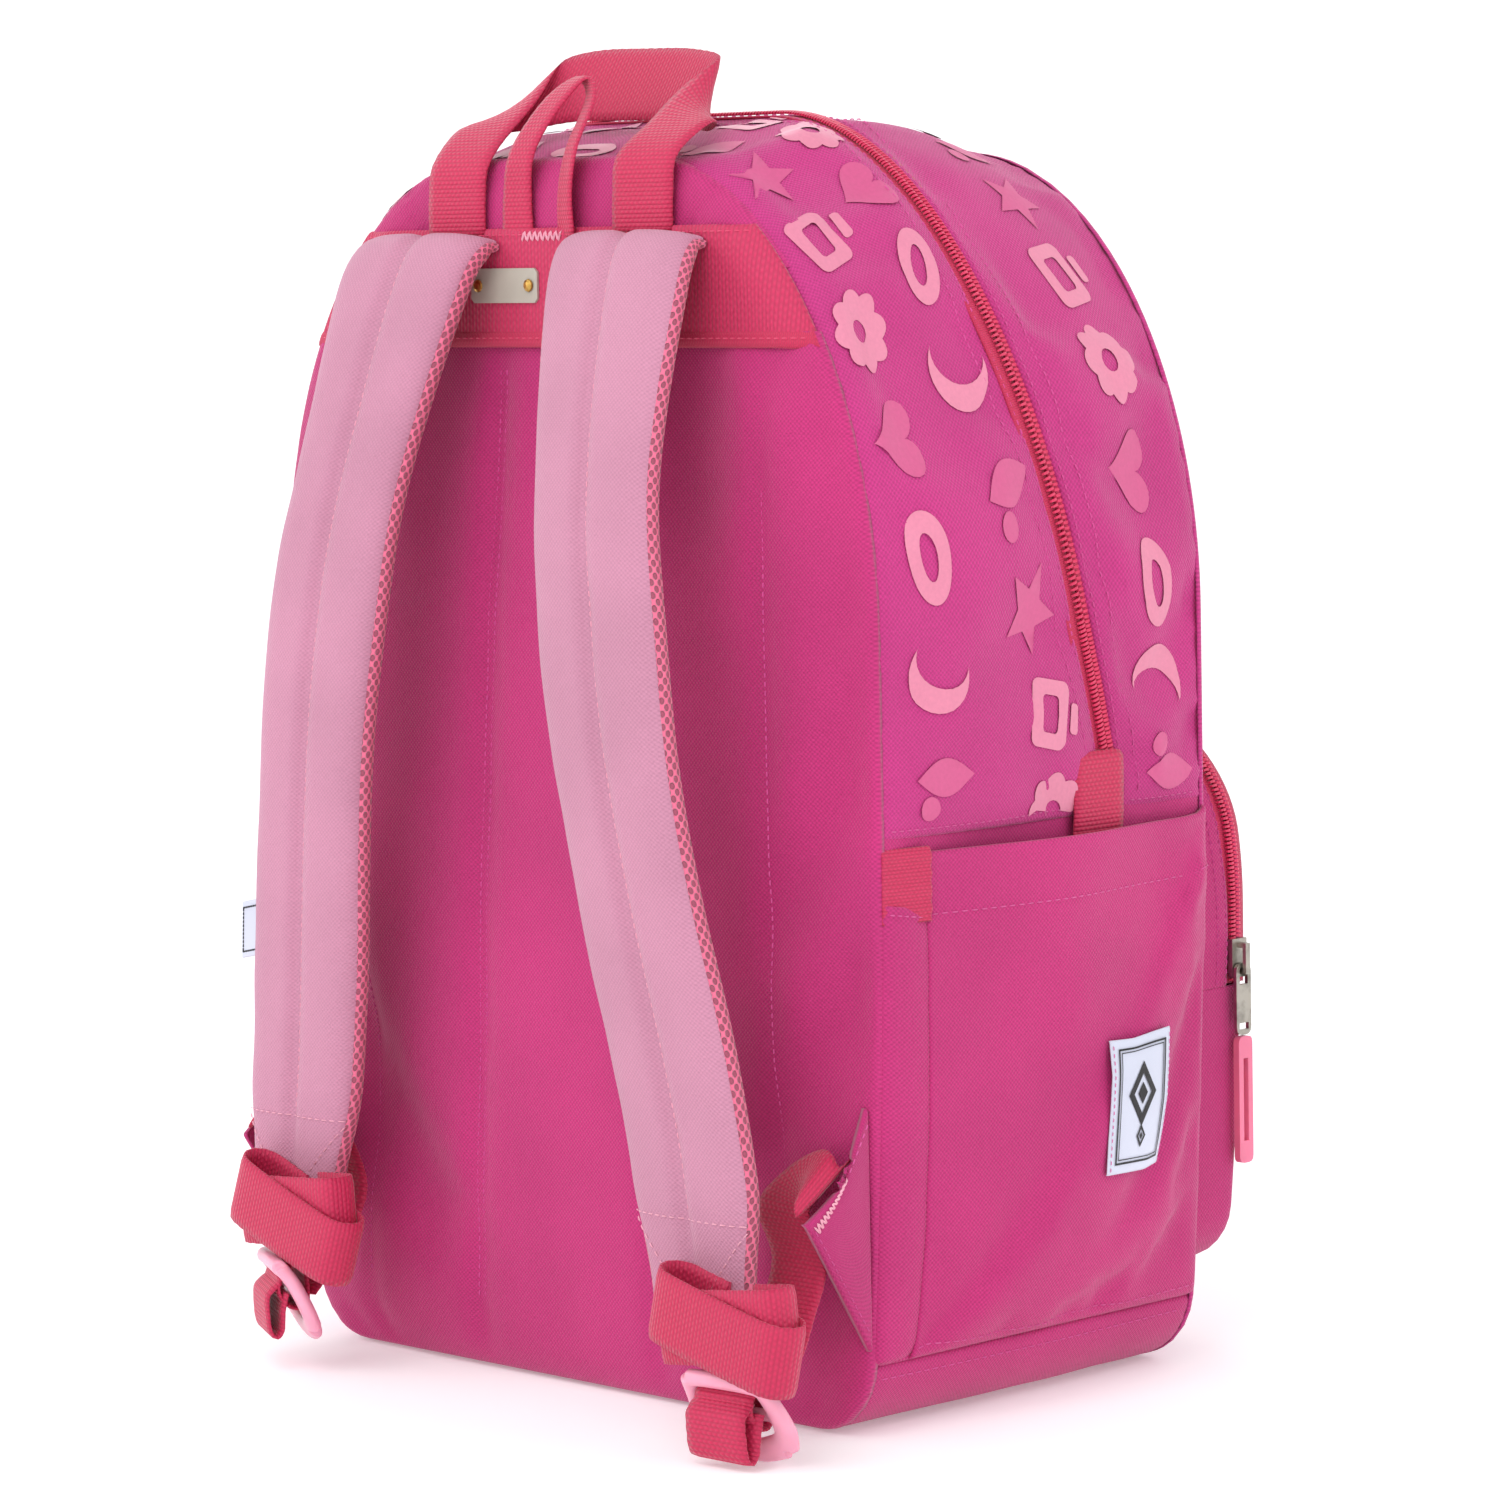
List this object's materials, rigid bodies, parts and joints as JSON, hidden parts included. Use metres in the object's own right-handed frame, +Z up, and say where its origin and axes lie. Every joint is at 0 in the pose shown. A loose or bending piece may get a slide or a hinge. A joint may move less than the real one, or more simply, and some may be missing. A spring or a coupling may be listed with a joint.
{
  "type": "school backpack",
  "caption": "Fabric school backpack with an arched main zip, zipped front pocket, elastic-edged side pockets, padded shoulder straps, carry handle and hang loop.",
  "frame": {"origin": "middle of the underside of the base, between the left and right sides", "axes": "+Z up, +Y towards the front pocket and away from the wearer, +X towards the wearer's right"},
  "size_m": [0.3314, 0.2808, 0.4636],
  "materials": {
    "main_fabric": "magenta plain-weave polyester",
    "printed_fabric": "magenta plain-weave polyester with pale printed shapes",
    "webbing": "red-pink ribbed webbing",
    "strap_fabric": "pale pink plain-weave polyester",
    "spacer_mesh": "pink knitted spacer mesh",
    "zip_coil": "red-pink woven zip tape with a nylon coil",
    "nickel": "dark nickel plate",
    "brass": "plain brass",
    "buckle_plastic": "pale pink moulded plastic",
    "pull_rubber": "pink moulded soft rubber",
    "label": "white satin ribbon with a plain black border",
    "elastic": "red-pink ribbed elastic",
    "foam": "matt grey foam",
    "board": "matt grey"
  },
  "bodies": {
    "shell": {"back_yoke": "main_fabric", "back_panel": "main_fabric", "back_foam": "foam", "anchor_band": "webbing", "name_plate": "nickel", "name_plate_rivet_left": "brass", "name_plate_rivet_right": "brass", "rear_gusset": "printed_fabric", "base_panel": "main_fabric", "base_board": "board", "side_panel_left": "main_fabric", "front_gusset_end_left": "printed_fabric", "side_panel_right": "main_fabric", "front_gusset_end_right": "printed_fabric", "main_zip_rear": "zip_coil", "zip_end_tab_left": "webbing", "zip_end_tab_right": "webbing", "side_pocket_left": "main_fabric", "side_pocket_elastic_left": "elastic", "woven_label_left": "label", "side_pocket_right": "main_fabric", "side_pocket_elastic_right": "elastic", "woven_label_right": "label", "front_panel_lower": "main_fabric", "front_pocket_gusset": "main_fabric", "front_pocket_zip_rear": "zip_coil", "front_pocket_base": "main_fabric", "front_pocket_face_lower": "main_fabric", "wing_tab_left": "main_fabric", "adjuster_webbing_left": "webbing", "wing_tab_right": "main_fabric", "adjuster_webbing_right": "webbing"},
    "main_flap": {"front_panel_upper": "printed_fabric", "front_gusset": "printed_fabric", "main_zip_front": "zip_coil"},
    "front_pocket_flap": {"front_pocket_face_upper": "main_fabric", "front_pocket_zip_front": "zip_coil"},
    "main_slider_body": {"main_slider": "nickel"},
    "main_pull_body": {"main_puller": "nickel", "main_pull_strap": "pull_rubber"},
    "front_pocket_slider_body": {"front_pocket_slider": "nickel"},
    "front_pocket_pull_body": {"front_pocket_puller": "nickel", "front_pocket_pull_strap": "pull_rubber"},
    "strap_left": {"shoulder_strap_left": "strap_fabric", "strap_mesh_left": "spacer_mesh", "strap_webbing_wrap_left": "webbing"},
    "buckle_left": {"ladder_lock_left": "buckle_plastic", "webbing_tail_left": "webbing"},
    "strap_right": {"shoulder_strap_right": "strap_fabric", "strap_mesh_right": "spacer_mesh", "strap_webbing_wrap_right": "webbing"},
    "buckle_right": {"ladder_lock_right": "buckle_plastic", "webbing_tail_right": "webbing"},
    "carry_handle_body": {"carry_handle": "webbing"},
    "hang_loop_body": {"hang_loop": "webbing"}
  },
  "joints": [
    {"name": "main_flap_fold", "type": "hinge", "parent": "shell", "child": "main_flap", "pos_m": [0, 0.0776, 0.25], "axis": [-1, 0, 0], "range_deg": [0, 70]},
    {"name": "front_pocket_fold", "type": "hinge", "parent": "shell", "child": "front_pocket_flap", "pos_m": [0, 0.1237, 0.13], "axis": [-1, 0, 0], "range_deg": [0, 80]},
    {"name": "main_slider_travel", "type": "slide", "parent": "shell", "child": "main_slider_body", "axis": [-0.0563, -0.2779, 0.959], "range_m": [0, 0.018]},
    {"name": "main_pull_swing", "type": "hinge", "parent": "main_slider_body", "child": "main_pull_body", "pos_m": [-0.15466, 0.02181, 0.22923], "axis": [-0.0163, 0.9606, 0.2775], "range_deg": [0, 90]},
    {"name": "front_pocket_slider_travel", "type": "slide", "parent": "shell", "child": "front_pocket_slider_body", "axis": [0, 0, 1], "range_m": [0, 0.03]},
    {"name": "front_pocket_pull_swing", "type": "hinge", "parent": "front_pocket_slider_body", "child": "front_pocket_pull_body", "pos_m": [0.1335, 0.11399, 0.1374], "axis": [0, -1, 0], "range_deg": [0, 110]},
    {"name": "strap_left_swing", "type": "hinge", "parent": "shell", "child": "strap_left", "pos_m": [-0.0515, -0.0938, 0.4065], "axis": [-1, 0, 0], "range_deg": [0, 20], "deforming": ["adjuster_webbing_left"]},
    {"name": "buckle_left_tilt", "type": "hinge", "parent": "strap_left", "child": "buckle_left", "pos_m": [-0.109, -0.14, 0.041], "axis": [-1, 0, 0], "range_deg": [0, 50]},
    {"name": "strap_right_swing", "type": "hinge", "parent": "shell", "child": "strap_right", "pos_m": [0.052, -0.0938, 0.4065], "axis": [-1, 0, 0], "range_deg": [0, 20], "deforming": ["adjuster_webbing_right"]},
    {"name": "buckle_right_tilt", "type": "hinge", "parent": "strap_right", "child": "buckle_right", "pos_m": [0.129, -0.147, 0.031], "axis": [-1, 0, 0], "range_deg": [0, 50]},
    {"name": "carry_handle_fold", "type": "hinge", "parent": "shell", "child": "carry_handle_body", "pos_m": [0, -0.0925, 0.4068], "axis": [1, 0, 0], "range_deg": [0, 20]},
    {"name": "hang_loop_fold", "type": "hinge", "parent": "shell", "child": "hang_loop_body", "pos_m": [0, -0.0925, 0.4068], "axis": [1, 0, 0], "range_deg": [0, 30]}
  ]
}
